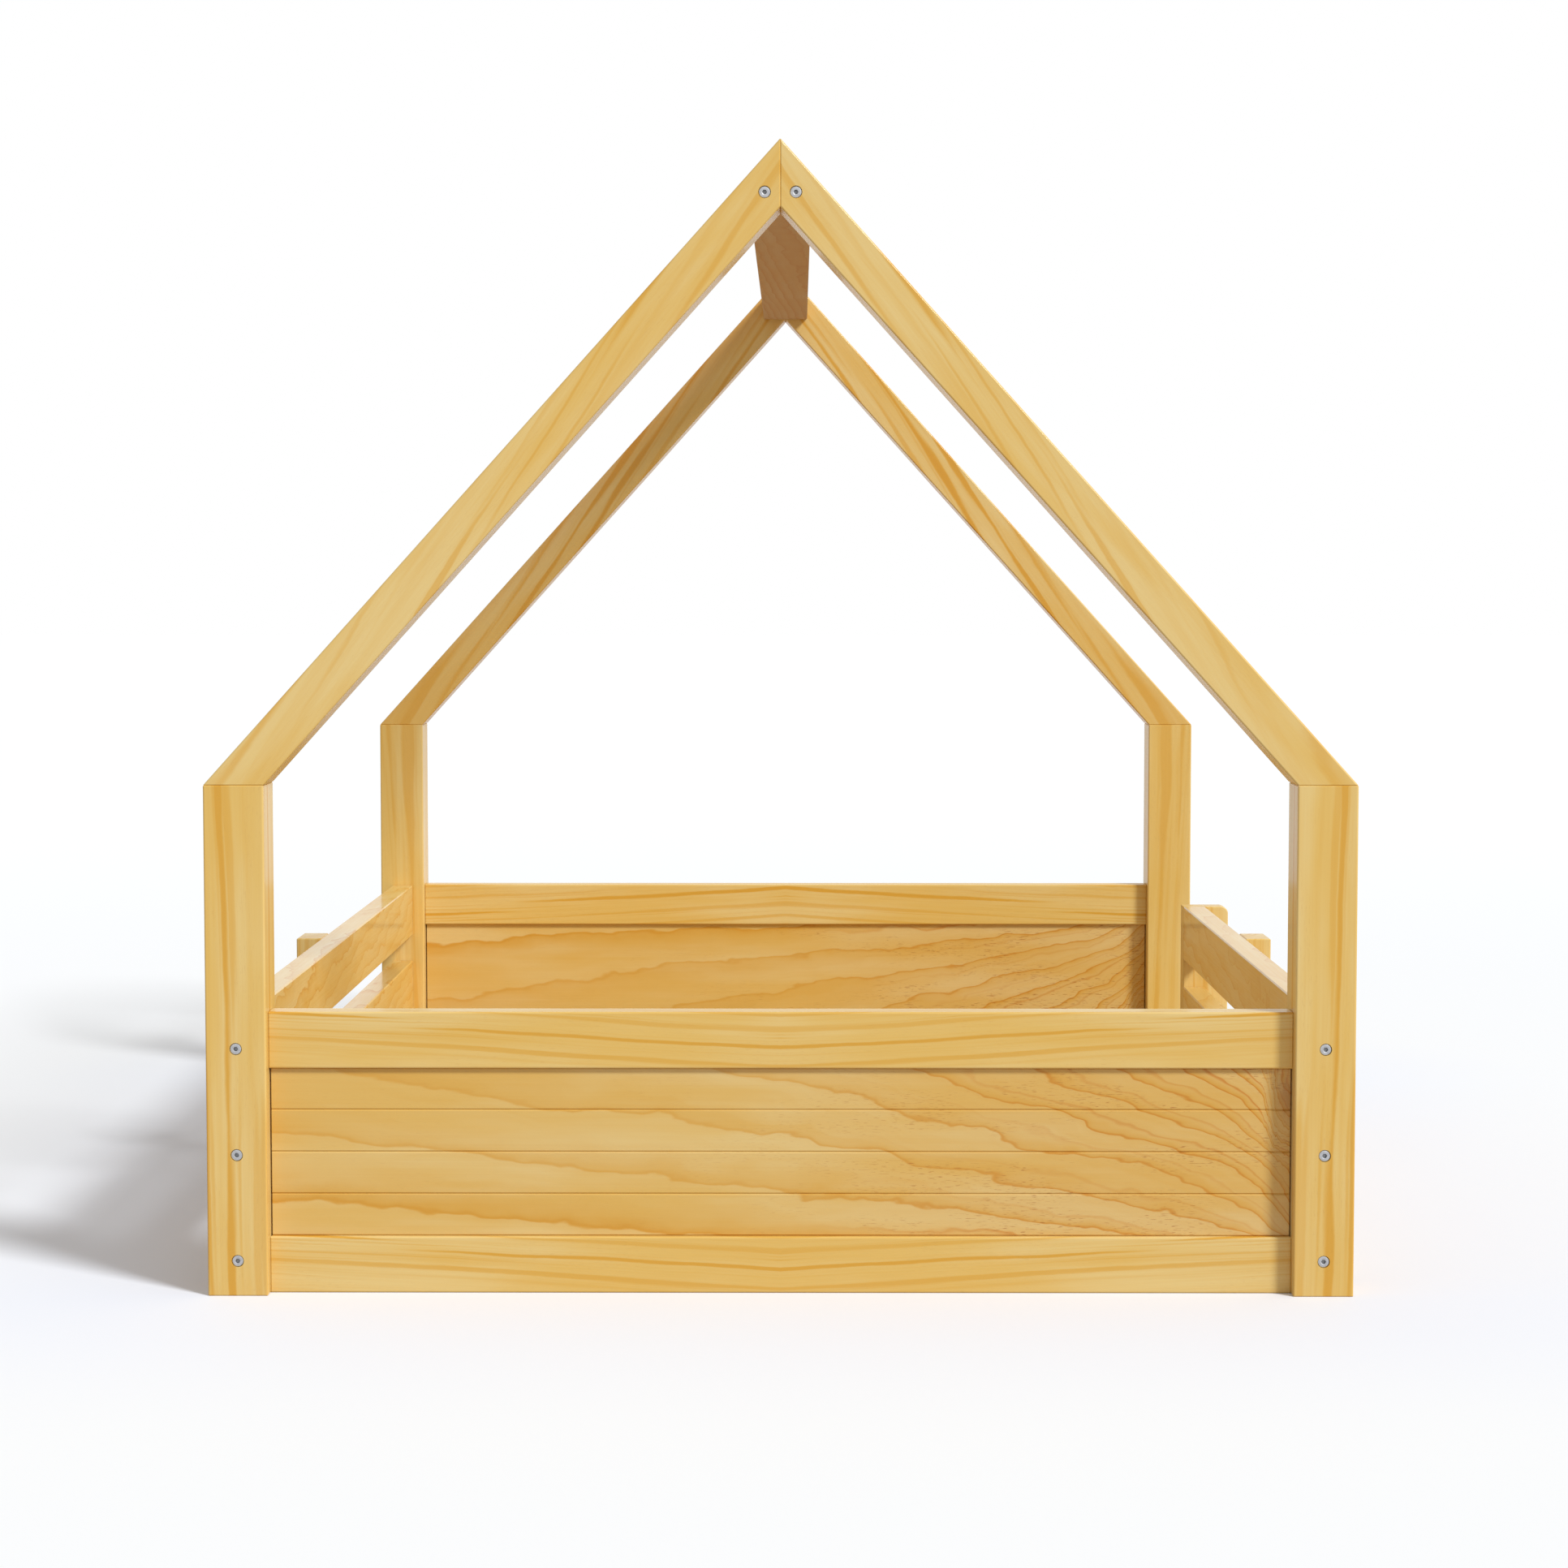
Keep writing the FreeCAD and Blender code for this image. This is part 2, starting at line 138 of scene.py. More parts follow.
# ---- Pine: noise in the board (scale per metre along, and across, detail, roughness) ----
SLOW_WAVES = (1.3, 7.0, 2.0, 0.5)
STEP_WAVES = (11.0, 24.0, 2.0, 0.5)
FINE_WAVES = (45.0, 90.0, 2.0, 0.5)
BROAD_TONE = (1.7, 11.0, 3.0, 0.55)
FIBRES = (2.5, 320.0, 3.0, 0.6)
CANAL_DASHES = (70.0, 900.0, 1.0, 0.5)
CANAL_PATCHES = (6.0, 20.0, 2.0, 0.5)
SEED_SKEW = 1.7

# ---- Pine: how far the waves bend the rings at full wobble, in rings ----
SLOW_BEND = 2.4
STEP_BEND = 0.3
STEP_BEND_IF_SHARP = 1.1
FINE_BEND = 0.15

# ---- Pine: noise that follows the rings (scale per metre along, scale per ring, detail) ----
SWELL_FLOW = (2.0, 0.9, 2.0)
THREAD_FLOW = (1.4, 2.2, 1.0)
HAIR_FLOW = (2.0, 5.0, 2.0)

# ---- Pine: the ring's dice, from what to what, and what the feature is there ----
RING_STRENGTH = (0.0, 1.0, 0.45, 1.0)
BAND_STRENGTH = (0.2, 0.8, 0.15, 1.0)
TWIN_STRENGTH = (0.2, 0.6, 0.4, 1.8)

# ---- Pine: how steeply late wood darkens outward, and how much resin adds ----
LATE_STEEPNESS = 2.2
RESIN_STEEPNESS = 3.0

# ---- Pine: places within a ring, from 0 at its inner edge to 1 at its outer edge ----
LINE_START = 0.89
EDGE_START = 0.955
TWIN_LINE = (0.52, 0.58, 0.68)

# ---- Pine: spans of noise over which each feature comes up ----
SWELL = 1.3
STREAK_SPAN = (0.62, 1.02)
THREAD_SPAN = (0.56, 0.68)
BROAD_SPAN = (0.34, 0.62)
HAIR_SPAN = (0.35, 0.75)
FIBRE_SPAN = (0.3, 0.75)
CANAL_SPAN = (0.62, 0.70)
CANAL_PATCH_SPAN = (0.44, 0.60)

# ---- Pine: the part of each feature in the colour ----
THREAD_SHARE = 0.55
HAIR_SHARE = 0.20
DEEP_SHARE = 0.35
LINE_SHARE = 0.45
RESIN_LINE_SHARE = 0.9
FIBRE_SHARE = 0.08
RESIN_SHARE = 0.16
CANAL_SHARE = 0.7

# ---- Pine: the varnished surface. Roughness goes with the noise of the fibres ----
PINE_GLOSS = 0.25
PINE_ROUGHNESS = (0.3, 0.7, 0.38, 0.46)
VARNISH_ROUGHNESS = 0.12
BUMP_STRENGTH = 0.04
BUMP_DEPTH = 0.0003
FIBRE_RELIEF = 0.5
LATE_WOOD_RELIEF = 0.35
CANAL_RELIEF = 0.5

# ---- Boards sawn from a log ----
WANDER_SCALE = 1.6
WANDER_REACH = 0.02
# Painted shade: below a given height a board is painted a pinkish brown (the ridge beam's
# underside).
SHADE_BROWN_SHARE = 0.55
SHADE_BROWN_FADE = 0.004
SHADE_BROWN_EDGE = 0.001
# Amber along one edge of a board: partly heartwood, partly painted shade.
HEARTWOOD_AND_SHADE_SHARE = 0.3
HEARTWOOD_AND_SHADE_SPAN = (-0.035, 0.025)
HEARTWOOD_AND_SHADE_DRIFT = 0.2
SLAT_CHANCE = 4

# ---- Grain of the end panels: rings fan out from a point past the right end ----
FAN_PAST_LEFT_END = 2.123
FAN_BELOW_PANEL = 0.072
FAN_RING = 0.056
FAN_END_TURN = 0.12
FAN_END_POWER = 30.0
PANEL_SEED = 7.7
PANEL_STAIN = 0.09
# From where to where along the panel each look changes, and from what to what.
PANEL_WOBBLE = (0.3, 1.4, 0.28, 0.6)
PANEL_CONTRAST = (0.6, 1.35, 0.95, 1.5)
PANEL_FLECKS = (0.5, 1.3, 0.1, 1.0)

# ---- The rings of a panel bend round a knot by its right end. Spans are distances from it ----
KNOT_PLACE = (1.566, 0.222)
KNOT_STRETCH = 0.34
KNOT_HEART = (0.0, 0.016)
KNOT_STAIN = 0.5
KNOT_SWIRL = (0.004, 0.042)
KNOT_TURN = 0.14
KNOT_RAGGED = 0.02
KNOT_RAGGED_SCALE = (90, 25, 90)
KNOT_RAGGED_DETAIL = 3.0

AXES = {"x": Vector((1, 0, 0)), "y": Vector((0, 1, 0)), "z": Vector((0, 0, 1))}
SIDES = {"left": -1, "right": 1}
ENDS = ("front", "back")
PLANKS = range(1, 5)
SLATS = range(1, 15)


# ------------------------------------------------------------------ shader helpers

# The first of the two inputs of a mix node, and its output, for each kind of value.
MIX_SOCKETS = {"FLOAT": (2, 0), "RGBA": (6, 2)}


class Graph:
    """Short calls for building one node tree. A value is a constant or an output socket."""

    def __init__(self, tree):
        self.tree = tree

    def feed(self, node, key, value):
        """Link an input to a socket, or set it to a constant."""
        if isinstance(value, bpy.types.NodeSocket):
            self.tree.links.new(value, node.inputs[key])
        else:
            node.inputs[key].default_value = value

    def add(self, kind, settings=None, **inputs):
        """A new node. In the name of an input an underscore stands for a space."""
        node = self.tree.nodes.new(kind)
        for key, value in (settings or {}).items():
            setattr(node, key, value)
        for key, value in inputs.items():
            self.feed(node, key.replace("_", " "), value)
        return node

    def add_in_order(self, kind, settings, values):
        """A new node whose first inputs take the values in turn."""
        node = self.add(kind, settings)
        for index, value in enumerate(values):
            self.feed(node, index, value)
        return node

    def math(self, operation, *values):
        return self.add_in_order("ShaderNodeMath", {"operation": operation}, values).outputs[0]

    def times(self, first, *others):
        for value in others:
            first = self.math("MULTIPLY", first, value)
        return first

    def plus(self, first, second):
        return self.math("ADD", first, second)

    def minus(self, first, second):
        return self.math("SUBTRACT", first, second)

    def times_plus(self, first, second, third):
        """The product of the first two, plus the third."""
        return self.math("MULTIPLY_ADD", first, second, third)

    def vector_math(self, operation, *values):
        node = self.add_in_order("ShaderNodeVectorMath", {"operation": operation}, values)
        return node.outputs["Value" if operation in ("DOT_PRODUCT", "LENGTH") else "Vector"]

    def combine(self, x, y, z):
        return self.add("ShaderNodeCombineXYZ", X=x, Y=y, Z=z).outputs[0]

    def split(self, vector):
        return list(self.add("ShaderNodeSeparateXYZ", Vector=vector).outputs)

    def where(self):
        """The place of the shaded point in the part, in metres."""
        return self.add("ShaderNodeTexCoord").outputs["Object"]

    def noise(self, vector, scale, detail=2.0, roughness=0.5):
        return self.add("ShaderNodeTexNoise", Vector=vector, Scale=scale, Detail=detail,
                        Roughness=roughness).outputs["Fac"]

    def span(self, value, low, high, to_low=0.0, to_high=1.0, smooth=True):
        """Low to high becomes to_low to to_high, and stays there beyond either end."""
        settings = {"interpolation_type": "SMOOTHSTEP" if smooth else "LINEAR"}
        values = (value, low, high, to_low, to_high)
        return self.add_in_order("ShaderNodeMapRange", settings, values).outputs[0]

    def mix(self, factor, low, high, kind="RGBA"):
        """Low at factor 0 and high at factor 1: colours, or numbers if kind is FLOAT."""
        node = self.add("ShaderNodeMix", {"data_type": kind})
        first, result = MIX_SOCKETS[kind]
        self.feed(node, 0, factor)
        self.feed(node, first, low)
        self.feed(node, first + 1, high)
        return node.outputs[result]

    def show(self, shader, kind="ShaderNodeOutputMaterial"):
        """Link a shader to the output of the tree."""
        output = self.tree.nodes.new(kind)
        self.tree.links.new(shader.outputs[0], output.inputs["Surface"])


def new_material(name):
    material = bpy.data.materials.new(name)
    material.use_nodes = True
    material.node_tree.nodes.clear()
    return material, Graph(material.node_tree)


def set_material(piece, material):
    piece.data.materials.clear()
    piece.data.materials.append(material)


def srgb(red, green, blue):
    """Linear colour with alpha from 0-255 display values."""
    def linear(value):
        value /= 255
        return value / 12.92 if value <= 0.04045 else ((value + 0.055) / 1.055) ** 2.4
    return (linear(red), linear(green), linear(blue), 1.0)


# ------------------------------------------------------------------ pine

PALE = srgb(229, 201, 134)
TAN = srgb(225, 187, 104)
GOLD = srgb(218, 168, 66)
HONEY = srgb(209, 146, 40)
AMBER = srgb(190, 98, 20)
UMBER = srgb(158, 84, 30)
# A pinkish brown, used as painted shade on the ridge beam's underside.
SHADE_BROWN = srgb(184, 150, 138)


class PineGraph(Graph):
    """The inside of the pine group, with the values that its features share."""

    def __init__(self, tree):
        super().__init__(tree)
        self.given = tree.nodes.new("NodeGroupInput").outputs
        seed = self.given["Seed"]
        shift = self.combine(seed, self.times(seed, SEED_SKEW), seed)
        self.place = self.vector_math("ADD", self.given["Board"], shift)
        self.rings = self.count_rings()
        self.phase = self.math("FRACT", self.rings)
        number = self.plus(self.math("FLOOR", self.rings), seed)
        dice = self.add("ShaderNodeTexWhiteNoise", {"noise_dimensions": "1D"}, W=number)
        self.dice = dice.outputs["Value"]
        self.strength = self.span(self.dice, *RING_STRENGTH, smooth=False)
        self.edge = self.span(self.phase, EDGE_START, 1.0, 1.0, 0.0)
        self.resin = self.math("MAXIMUM", self.minus(self.given["Contrast"], 1.0), 0.0)

    def grain(self, along, across, detail, roughness):
        """Noise drawn out along the board."""
        stretched = self.vector_math("MULTIPLY", self.place, (along, across, across))
        return self.noise(stretched, 1.0, detail, roughness)

    def flow(self, along, rings, detail):
        """Noise drawn out along the rings."""
        length = self.split(self.place)[0]
        return self.noise(self.combine(self.times(length, along), self.times(self.rings, rings),
                                       self.given["Seed"]), 1.0, detail)

    def count_rings(self):
        """Rings from the pith outward. Slow waves, steps and fine waves bend them."""
        wobble = self.given["Wobble"]
        slow = self.minus(self.grain(*SLOW_WAVES), 0.5)
        steps = self.minus(self.grain(*STEP_WAVES), 0.5)
        fine = self.minus(self.grain(*FINE_WAVES), 0.5)
        ragged = self.times_plus(self.given["Sharp"], STEP_BEND_IF_SHARP, STEP_BEND)
        rings = self.math("DIVIDE", self.given["Radius"], self.given["Ring"])
        rings = self.times_plus(slow, self.times(wobble, SLOW_BEND), rings)
        rings = self.times_plus(steps, self.times(wobble, ragged), rings)
        return self.times_plus(fine, self.times(wobble, FINE_BEND), rings)

    def soft_streaks(self):
        """Bands that swell and fade in the middle of the rings, and thin threads."""
        off_middle = self.math("ABSOLUTE", self.times_plus(self.phase, 2.0, -1.0))
        swell = self.times_plus(self.flow(*SWELL_FLOW), 2 * SWELL, -SWELL)
        bands = self.span(self.plus(self.minus(1.0, off_middle), swell), *STREAK_SPAN)
        bands = self.times(bands, self.span(self.dice, *BAND_STRENGTH))
        threads = self.span(self.flow(*THREAD_FLOW), *THREAD_SPAN)
        return self.math("MAXIMUM", bands, self.times(threads, THREAD_SHARE))

    def late_wood(self):
        """Soft streaks, or where Sharp is 1 a slow rise to a crisp outer edge."""
        steepness = self.times_plus(self.resin, RESIN_STEEPNESS, LATE_STEEPNESS)
        rise = self.times(self.math("POWER", self.phase, steepness), self.edge, self.strength)
        return self.mix(self.given["Sharp"], self.soft_streaks(), rise, "FLOAT")

    def dark_lines(self):
        """A thin line at the outer edge of sharp rings, and in resinous wood a second one."""
        outer = self.times(self.span(self.phase, LINE_START, EDGE_START), self.edge,
                           self.strength)
        rise, crest, fall = TWIN_LINE
        twin = self.times(self.span(self.phase, rise, crest),
                          self.span(self.phase, crest, fall, 1.0, 0.0))
        twin = self.times(twin, self.times(self.resin, self.span(self.dice, *TWIN_STRENGTH)))
        return self.times(self.math("MAXIMUM", outer, twin), self.given["Sharp"])

    def resin_canals(self):
        """Short dark dashes along the grain, in patches."""
        dashes = self.span(self.grain(*CANAL_DASHES), *CANAL_SPAN)
        patches = self.span(self.grain(*CANAL_PATCHES), *CANAL_PATCH_SPAN)
        return self.times(dashes, patches, self.given["Flecks"])

    def colour(self, late, lines, fibre, canals):
        """Pale to tan wood, with each feature laid over it in turn."""
        contrast = self.given["Contrast"]
        broad = self.grain(*BROAD_TONE)
        hair = self.flow(*HAIR_FLOW)
        deep = self.times(late, late, contrast)
        colour = self.mix(self.span(broad, *BROAD_SPAN), PALE, TAN)
        colour = self.mix(self.span(hair, *HAIR_SPAN, 0.0, HAIR_SHARE), colour, GOLD)
        colour = self.mix(self.times(late, contrast), colour, GOLD)
        colour = self.mix(self.times(deep, DEEP_SHARE), colour, HONEY)
        colour = self.mix(self.times(lines, self.times(contrast, LINE_SHARE)), colour, HONEY)
        amber = self.times(lines, self.times(self.resin, RESIN_LINE_SHARE))
        colour = self.mix(amber, colour, AMBER)
        colour = self.mix(self.span(fibre, *FIBRE_SPAN, 0.0, FIBRE_SHARE), colour, HONEY)
        colour = self.mix(self.times(self.resin, RESIN_SHARE), colour, AMBER)
        return self.mix(self.times(canals, CANAL_SHARE), colour, UMBER)


def pine_group():
    """Colour, roughness and height of pine, from ring radius and board coordinates.

    Board is (along, across, through) in metres. Sharp 0 gives soft streaks. Sharp 1 gives rings
    that darken slowly outward to a crisp edge of late wood. Contrast above 1 turns edges amber.
    """
    tree = bpy.data.node_groups.new("pine", "ShaderNodeTree")
    face = tree.interface
    face.new_socket("Board", in_out="INPUT", socket_type="NodeSocketVector")
    for name in ("Radius", "Ring", "Wobble", "Contrast", "Sharp", "Flecks", "Seed"):
        face.new_socket(name, in_out="INPUT", socket_type="NodeSocketFloat")
    face.new_socket("Color", in_out="OUTPUT", socket_type="NodeSocketColor")
    for name in ("Roughness", "Height"):
        face.new_socket(name, in_out="OUTPUT", socket_type="NodeSocketFloat")

    graph = PineGraph(tree)
    fibre = graph.grain(*FIBRES)
    late = graph.late_wood()
    lines = graph.dark_lines()
    canals = graph.resin_canals()
    height = graph.times_plus(fibre, FIBRE_RELIEF, graph.times(late, LATE_WOOD_RELIEF))
    output = tree.nodes.new("NodeGroupOutput")
    graph.feed(output, "Color", graph.colour(late, lines, fibre, canals))
    graph.feed(output, "Roughness", graph.span(fibre, *PINE_ROUGHNESS))
    graph.feed(output, "Height", graph.minus(height, graph.times(canals, CANAL_RELIEF)))
    return tree


PINE = pine_group()


def board_coordinates(graph, along, across):
    """Distances in metres along the grain, across the wide face and through the thickness."""
    place = graph.where()
    through = along.cross(across)
    return graph.combine(graph.vector_math("DOT_PRODUCT", place, tuple(along)),
                         graph.vector_math("DOT_PRODUCT", place, tuple(across)),
                         graph.vector_math("DOT_PRODUCT", place, tuple(through)))


def finish_pine(graph, board, radius, gloss=PINE_GLOSS, stain_and_shade=0.0, stain_and_shade_colour=SHADE_BROWN, **look):
    """The varnished surface over the pine group, with a share of a darker colour laid over it:
    real colour in the panels and on the knot, painted shade on the ridge beam's underside, and
    heartwood with painted shade on the back left rafter.
    """
    pine = graph.add("ShaderNodeGroup", {"node_tree": PINE}, Board=board, Radius=radius, **look)
    bump = graph.add("ShaderNodeBump", Strength=BUMP_STRENGTH, Distance=BUMP_DEPTH,
                     Height=pine.outputs["Height"])
    colour = graph.mix(stain_and_shade, pine.outputs["Color"], stain_and_shade_colour)
    graph.show(graph.add("ShaderNodeBsdfPrincipled", Base_Color=colour,
                         Roughness=pine.outputs["Roughness"], Normal=bump.outputs[0],
                         Specular_IOR_Level=gloss, Coat_Weight=gloss,
                         Coat_Roughness=VARNISH_ROUGHNESS))


def log_cut_material(name, along, across, centre, seed, pith=(0.07, 0.10), lean=0.012,
                     fold=False, ring=0.014, wobble=0.35, contrast=0.9, sharp=0.2, flecks=0.15,
                     gloss=PINE_GLOSS, brown_below=None, heart=0.0):
    """A board sawn from a log. The pith lies outside it and leans a little along its length.

    Pith is its place across and through the board, from the centre. With fold the lean is
    mirrored about the middle of the board. Below the given height the wood is painted browner:
    painted shade on an underside.
    The amber share at the edge that across points to is partly heartwood and partly painted
    shade.
    """
    material, graph = new_material(name)
    board = board_coordinates(graph, along, across)
    lengthwise, sideways, inward = graph.split(board)
    centre_line = centre.dot(across)
    length = graph.minus(lengthwise, centre.dot(along))
    if fold:
        length = graph.math("ABSOLUTE", length)
        board = graph.combine(length, sideways, inward)
    line = graph.combine(graph.times_plus(length, WANDER_SCALE, seed), seed, 0.0)
    wander = graph.noise(line, 1.0, 1.0)
    drift = graph.times_plus(length, lean, graph.times(wander, WANDER_REACH))
    beside_pith = graph.minus(graph.minus(sideways, centre_line + pith[0]), drift)
    above_pith = graph.minus(inward, centre.dot(along.cross(across)) + pith[1])
    square = graph.times_plus(beside_pith, beside_pith, graph.times(above_pith, above_pith))

    # The darker share below is real colour on some boards and painted shade on others.
    stain_and_shade = 0.0
    stain_and_shade_colour = SHADE_BROWN
    # Painted shade: the wood below the given height is painted brown.
    if brown_below is not None:
        height = graph.split(graph.where())[2]
        stain_and_shade = graph.span(height, brown_below, brown_below + SHADE_BROWN_FADE, SHADE_BROWN_SHARE, 0.0)
    if heart:
        edgeward = graph.times_plus(drift, HEARTWOOD_AND_SHADE_DRIFT, graph.minus(sideways, centre_line))
        stain_and_shade = graph.span(edgeward, *HEARTWOOD_AND_SHADE_SPAN, 0.0, heart)
        stain_and_shade_colour = AMBER
    finish_pine(graph, board, graph.math("SQRT", square), gloss, stain_and_shade, stain_and_shade_colour, Ring=ring,
                Wobble=wobble, Contrast=contrast, Sharp=sharp, Flecks=flecks, Seed=seed)
    return material


def centre_of(name):
    low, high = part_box(name)
    return (low + high) / 2


def dress(name, along, across, seed, **settings):
    """Give a node the wood of its own board."""
    material = log_cut_material(name + "_pine", along, across, centre_of(name), seed, **settings)
    set_material(nodes[name], material)


def dress_posts():
    """The right posts mirror the left ones."""
    for index, end in enumerate(ENDS):
        for side, sign in SIDES.items():
            dress("%s_%s_post" % (end, side), AXES["z"], AXES["x"] * -sign,
                  seed=3.1 + 5.3 * index, pith=(0.09, -0.06 * sign), lean=-0.03, ring=0.024,
                  wobble=0.3, sharp=0.0, contrast=0.9 - 0.35 * index)
    for side, sign in SIDES.items():
        dress(side + "_mid_leg", AXES["z"], AXES["y"], seed=21.4 + sign, pith=(0.05, 0.08))
    dress("guard_end_post", AXES["z"], AXES["x"], seed=27.9, pith=(0.06, 0.07))


def dress_rafters():
    """The grain follows the slope and is mirrored about the peak. The back left rafter is
    painted amber along its upper edge: partly heartwood, partly painted shade.
    """
    for index, end in enumerate(ENDS):
        for side, sign in SIDES.items():
            low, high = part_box("%s_%s_rafter" % (end, side))
            slope = Vector((-sign * (high.x - low.x), 0, high.z - low.z)).normalized()
            across = Vector((sign * slope.z, 0, sign * -slope.x))
            # Heartwood with painted shade: amber along the upper edge of the back left rafter
            # only.
            heart = HEARTWOOD_AND_SHADE_SHARE if (end, side) == ("back", "left") else 0.0
            dress("%s_%s_rafter" % (end, side), slope, across, seed=41.7 + 3.7 * index,
                  pith=(0.10, 0.05 * sign), lean=0.15, ring=0.030, wobble=0.4, sharp=0.0,
                  contrast=1.05 + 0.4 * index, flecks=0.1, heart=heart)


def dress_rails():
    """End rails alike, the back ones upside down. The ridge beam's underside is painted browner,
    as painted shade.
    """
    for end in ENDS:
        up = AXES["z"] if end == "front" else -AXES["z"]
        for place in ("top", "bottom"):
            dress("%s_%s_rail" % (end, place), AXES["x"], up, seed=61.3, fold=True,
                  pith=(-0.11, 0.05), lean=0.05, ring=0.013, wobble=0.6, sharp=0.0,
                  contrast=0.98)
    for index, side in enumerate(SIDES):
        for level, place in enumerate(("bottom", "middle", "top")):
            dress("%s_%s_rail" % (side, place), AXES["y"], AXES["z"],
                  seed=80.3 + 3.3 * level + 11.1 * index, pith=(0.06, 0.04), lean=0.12,
                  ring=0.034, wobble=1.0, sharp=1.0, contrast=1.1, gloss=0.5)
    # Painted shade: the ridge beam's underside is painted brown.
    dress("ridge_beam", AXES["y"], AXES["x"], seed=99.2, pith=(0.03, 0.08), lean=0.05,
          ring=0.012, wobble=0.5, sharp=1.0, contrast=1.1, gloss=0.0,
          brown_below=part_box("ridge_beam")[0].z + SHADE_BROWN_EDGE)


def fan_angle(graph, run, rise, length):
    """The angle at which a point of the panel is seen from the centre of the fan."""
    angle = graph.math("ARCTAN2", graph.plus(rise, FAN_BELOW_PANEL),
                       graph.minus(FAN_PAST_LEFT_END, run))
    turn = graph.math("POWER", graph.math("DIVIDE", run, length), FAN_END_POWER)
    return graph.times_plus(turn, FAN_END_TURN, angle)


def knot_gap(graph, board, run, rise):
    """A ragged distance from the knot, which is drawn out upward."""
    aside = graph.minus(run, KNOT_PLACE[0])
    above = graph.times(graph.minus(rise, KNOT_PLACE[1]), KNOT_STRETCH)
    gap = graph.vector_math("LENGTH", graph.combine(aside, above, 0.0))
    ragged = graph.noise(graph.vector_math("MULTIPLY", board, KNOT_RAGGED_SCALE), 1.0,
                         KNOT_RAGGED_DETAIL)
    return graph.plus(gap, graph.times(graph.minus(ragged, 0.5), KNOT_RAGGED))


def panel_material(name, low, high, upside_down):
    """Flat-sawn wood: a few broad rings at the left, which crowd and turn down at the right."""
    material, graph = new_material(name)
    along, across, through = graph.split(board_coordinates(graph, AXES["x"], AXES["z"]))
    run = graph.minus(along, low.x)
    rise = graph.minus(across, low.z)
    if upside_down:
        rise = graph.minus(high.z - low.z, rise)
    board = graph.combine(run, rise, through)
    gap = knot_gap(graph, board, run, rise)
    angle = fan_angle(graph, run, rise, high.x - low.x)
    angle = graph.plus(angle, graph.span(gap, *KNOT_SWIRL, KNOT_TURN, 0.0))
    finish_pine(graph, board, graph.times(angle, -1.0),
                stain_and_shade=graph.span(gap, *KNOT_HEART, KNOT_STAIN, PANEL_STAIN), stain_and_shade_colour=UMBER,
                Ring=FAN_RING, Wobble=graph.span(run, *PANEL_WOBBLE),
                Contrast=graph.span(run, *PANEL_CONTRAST),
                Flecks=graph.span(run, *PANEL_FLECKS), Sharp=1.0, Seed=PANEL_SEED)
    return material


def dress_panels():
    """The grain runs on over the planks of a panel. The back panel is upside down."""
    for end in ENDS:
        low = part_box(end + "_plank_1")[0]
        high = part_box(end + "_plank_4")[1]
        for plank in PLANKS:
            name = "%s_plank_%d" % (end, plank)
            set_material(nodes[name], panel_material(name + "_pine", low, high, end == "back"))


def dress_base():
    """Ledgers, centre beam, slats and loose keys. Each slat is cut from its own log."""
    for side in SIDES:
        dress(side + "_slat_ledger", AXES["y"], AXES["z"], seed=120.0 + len(side))
    dress("centre_beam", AXES["y"], AXES["z"], seed=133.0)
    chance = random.Random(SLAT_CHANCE)
    for index in SLATS:
        pith = (chance.uniform(-0.05, 0.05), chance.uniform(0.03, 0.09))
        dress("slat_%02d" % index, AXES["x"], AXES["y"], seed=150 + 9 * index, pith=pith,
              lean=chance.uniform(-0.04, 0.04), ring=0.013, wobble=0.6)
    for name in ("post_top_keys", "mitre_keys"):
        dress(name, AXES["z"], AXES["x"], seed=301.0, contrast=0.3)


# ------------------------------------------------------------------ metal

def metal_material(name, colour, low_roughness, high_roughness):
    """Dull metal: cloudy tone, uneven gloss and small nicks."""
    material, graph = new_material(name)
    place = graph.where()
    cloud = graph.noise(place, *CLOUDS)
    shaded = tuple(CLOUD_SHADE * part for part in colour[:3]) + (1.0,)
    bump = graph.add("ShaderNodeBump", Strength=NICK_STRENGTH, Distance=NICK_DEPTH,
                     Height=graph.noise(place, *NICKS))
    graph.show(graph.add("ShaderNodeBsdfPrincipled", Metallic=1.0, Normal=bump.outputs[0],
                         Base_Color=graph.mix(graph.span(cloud, *CLOUD_SPAN), colour, shaded),
                         Roughness=graph.span(cloud, *CLOUD_SPAN, low_roughness,
                                              high_roughness)))
    return material


ZINC = metal_material("zinc_plate", srgb(190, 191, 194), 0.34, 0.42)
# Darker metal inside the hex sockets: painted shade in the recess.
SOCKET_PAINTED_SHADE = metal_material("socket_painted_shade", srgb(132, 133, 135), 0.5, 0.6)
ALLOY = metal_material("zinc_alloy", srgb(176, 176, 172), 0.38, 0.52)


def loose_parts(name):
    """The points of each separate solid in a node."""
    mesh = bmesh.new()
    mesh.from_mesh(nodes[name].data)
    bmesh.ops.remove_doubles(mesh, verts=mesh.verts, dist=WELD)
    seen = set()
    parts = []
    for first in mesh.verts:
        if first in seen:
            continue
        seen.add(first)
        stack = [first]
        points = []
        while stack:
            vertex = stack.pop()
            points.append(vertex.co.copy())
            for edge in vertex.link_edges:
                other = edge.other_vert(vertex)
                if other not in seen:
                    seen.add(other)
                    stack.append(other)
        parts.append(points)
    mesh.free()
    return parts


def long_axis(points):
    """Ends of the centre line of a solid of revolution, and its radius at either end."""
    lows = [min(point[axis] for point in points) for axis in range(3)]
    highs = [max(point[axis] for point in points) for axis in range(3)]
    axis = max(range(3), key=lambda index: highs[index] - lows[index])
    centre = (Vector(lows) + Vector(highs)) / 2
    ends = []
    for place in (lows[axis], highs[axis]):
        end = centre.copy()
        end[axis] = place
        radius = max((point - end).length for point in points
                     if abs(point[axis] - place) < WELD)
        ends.append((end, radius))
    return ends


